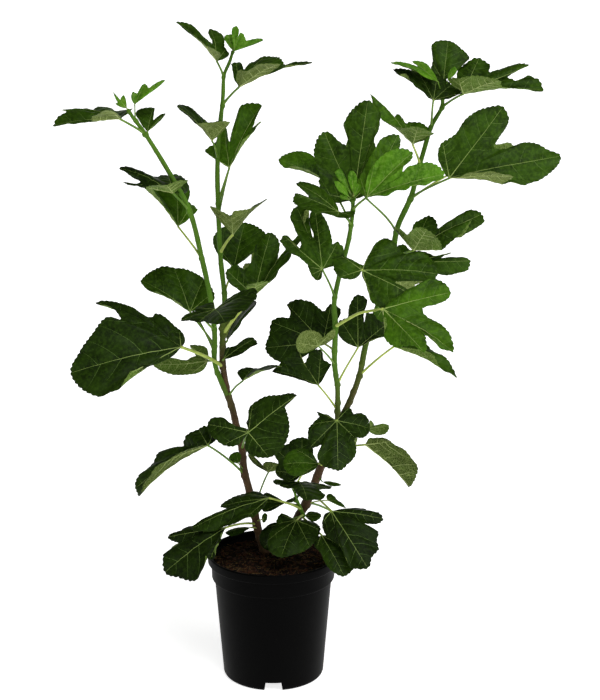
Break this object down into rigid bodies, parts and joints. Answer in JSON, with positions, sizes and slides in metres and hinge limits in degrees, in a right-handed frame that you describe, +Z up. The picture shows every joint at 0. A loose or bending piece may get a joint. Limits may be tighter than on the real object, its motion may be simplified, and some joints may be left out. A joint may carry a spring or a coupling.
{
  "type": "potted fig tree",
  "caption": "Young fig tree with slim stems, open boughs and large lobed leaves, rising from the potting mix in a round black nursery pot.",
  "frame": {"origin": "centre of the pot's flat underside", "axes": "+Z up along the pot's axis, +X towards the plant's right as seen from the front, +Y towards the back"},
  "size_m": [0.7656, 0.4211, 1.0472],
  "materials": {
    "pot_black": "satin moulded plastic",
    "potting_mix": "crumbly bark and peat",
    "bark": "green bark, brown near the ground",
    "leaf_green": "soft satin leaf, paler beneath"
  },
  "bodies": {
    "root": {"foliage_left_inner_01": "leaf_green", "foliage_left_inner_02": "leaf_green", "foliage_left_inner_03": "leaf_green", "foliage_left_inner_04": "leaf_green", "foliage_left_inner_05": "leaf_green", "foliage_left_inner_06": "leaf_green", "foliage_left_inner_07": "leaf_green", "foliage_left_inner_08": "leaf_green", "foliage_left_inner_09": "leaf_green", "foliage_left_inner_10": "leaf_green", "foliage_left_inner_11": "leaf_green", "foliage_left_outer_01": "leaf_green", "foliage_left_outer_02": "leaf_green", "foliage_left_outer_03": "leaf_green", "foliage_left_outer_04": "leaf_green", "foliage_left_outer_05": "leaf_green", "foliage_left_outer_06": "leaf_green", "foliage_left_stem_01": "leaf_green", "foliage_left_stem_02": "leaf_green", "foliage_left_stem_03": "leaf_green", "foliage_left_stem_04": "leaf_green", "foliage_left_stem_05": "leaf_green", "foliage_right_inner_01": "leaf_green", "foliage_right_inner_02": "leaf_green", "foliage_right_inner_03": "leaf_green", "foliage_right_inner_04": "leaf_green", "foliage_right_inner_05": "leaf_green", "foliage_right_inner_06": "leaf_green", "foliage_right_inner_07": "leaf_green", "foliage_right_inner_08": "leaf_green", "foliage_right_inner_09": "leaf_green", "foliage_right_inner_10": "leaf_green", "foliage_right_outer_01": "leaf_green", "foliage_right_outer_02": "leaf_green", "foliage_right_outer_03": "leaf_green", "foliage_right_outer_04": "leaf_green", "foliage_right_outer_05": "leaf_green", "foliage_right_outer_06": "leaf_green", "foliage_right_outer_07": "leaf_green", "foliage_right_outer_08": "leaf_green", "foliage_right_outer_09": "leaf_green", "foliage_right_outer_10": "leaf_green", "foliage_right_stem_01": "leaf_green", "foliage_right_stem_02": "leaf_green", "foliage_right_stem_03": "leaf_green", "foliage_right_stem_04": "leaf_green", "foliage_right_stem_05": "leaf_green", "foliage_side_shoot_01": "leaf_green", "foliage_side_shoot_02": "leaf_green", "foliage_side_shoot_03": "leaf_green", "left_bough_inner": "bark", "left_bough_outer": "bark", "left_stem": "bark", "pot": "pot_black", "potting_mix": "potting_mix", "right_bough_inner": "bark", "right_bough_outer": "bark", "right_stem": "bark", "side_shoot": "bark"}
  },
  "joints": []
}
